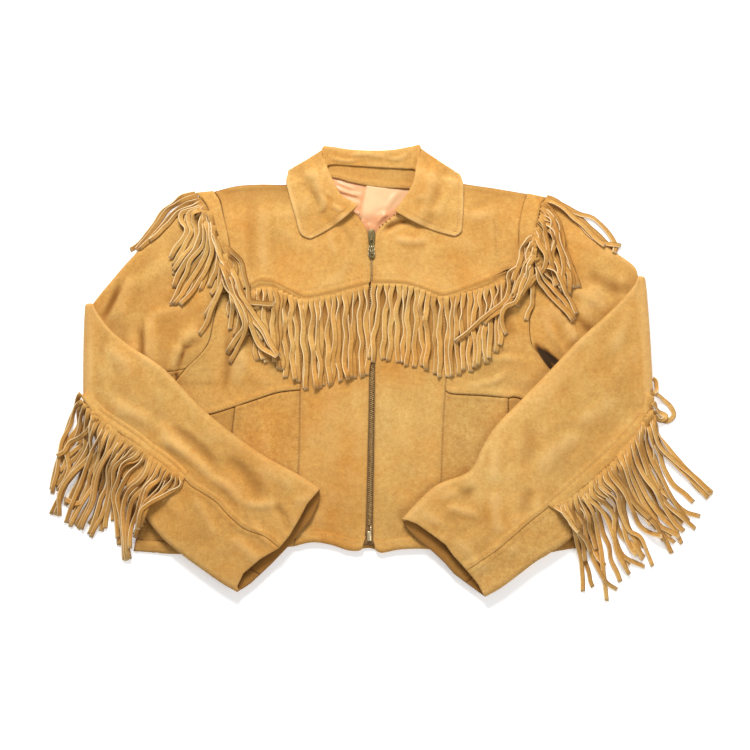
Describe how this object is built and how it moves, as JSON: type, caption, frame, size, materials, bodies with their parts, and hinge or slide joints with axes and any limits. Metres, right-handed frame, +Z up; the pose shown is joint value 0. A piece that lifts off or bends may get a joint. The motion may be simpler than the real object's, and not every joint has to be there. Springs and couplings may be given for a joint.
{
  "type": "fringed suede jacket",
  "caption": "Cropped western jacket of golden-tan suede laid flat on its back, sleeves folded over the front, long cut fringe at the yokes, armholes and sleeves, shirt collar and metal zip.",
  "frame": {"origin": "on the zip line, at the plane that the back panel rests on", "axes": "+Z up from the surface it lies on, +Y from hem to collar, +X to the right as seen from above with the collar away from the viewer"},
  "size_m": [0.828, 0.5627, 0.0321],
  "materials": {
    "suede": "napped golden-tan suede",
    "lining": "satin salmon lining",
    "zip_tape": "brown woven tape",
    "zip_metal": "antique brass",
    "bright_brass": "polished pale brass"
  },
  "bodies": {
    "jacket": {"back": "suede", "back_neck_facing": "suede", "collar": "suede", "yoke_left": "suede", "front_centre_left": "suede", "front_chest_left": "suede", "front_pocket_left": "suede", "front_flank_left": "suede", "sleeve_top_left": "suede", "sleeve_under_left": "suede", "fringe_yoke_left": "suede", "fringe_armhole_left": "suede", "fringe_sleeve_left": "suede", "yoke_right": "suede", "front_centre_right": "suede", "front_chest_right": "suede", "front_pocket_right": "suede", "front_flank_right": "suede", "sleeve_top_right": "suede", "sleeve_under_right": "suede", "fringe_yoke_right": "suede", "fringe_armhole_right": "suede", "fringe_sleeve_right": "suede", "neck_lining": "lining", "zip_tape": "zip_tape", "zip_chain": "zip_metal", "zip_slider": "zip_metal", "zip_pin_box": "bright_brass"},
    "pull_tab": {"zip_pull": "zip_metal"}
  },
  "joints": [
    {"name": "pull_tab_hinge", "type": "hinge", "parent": "jacket", "child": "pull_tab", "pos_m": [-0.00052, 0.17007, 0.01885], "axis": [-1, 0, 0], "range_deg": [0, 150]}
  ]
}
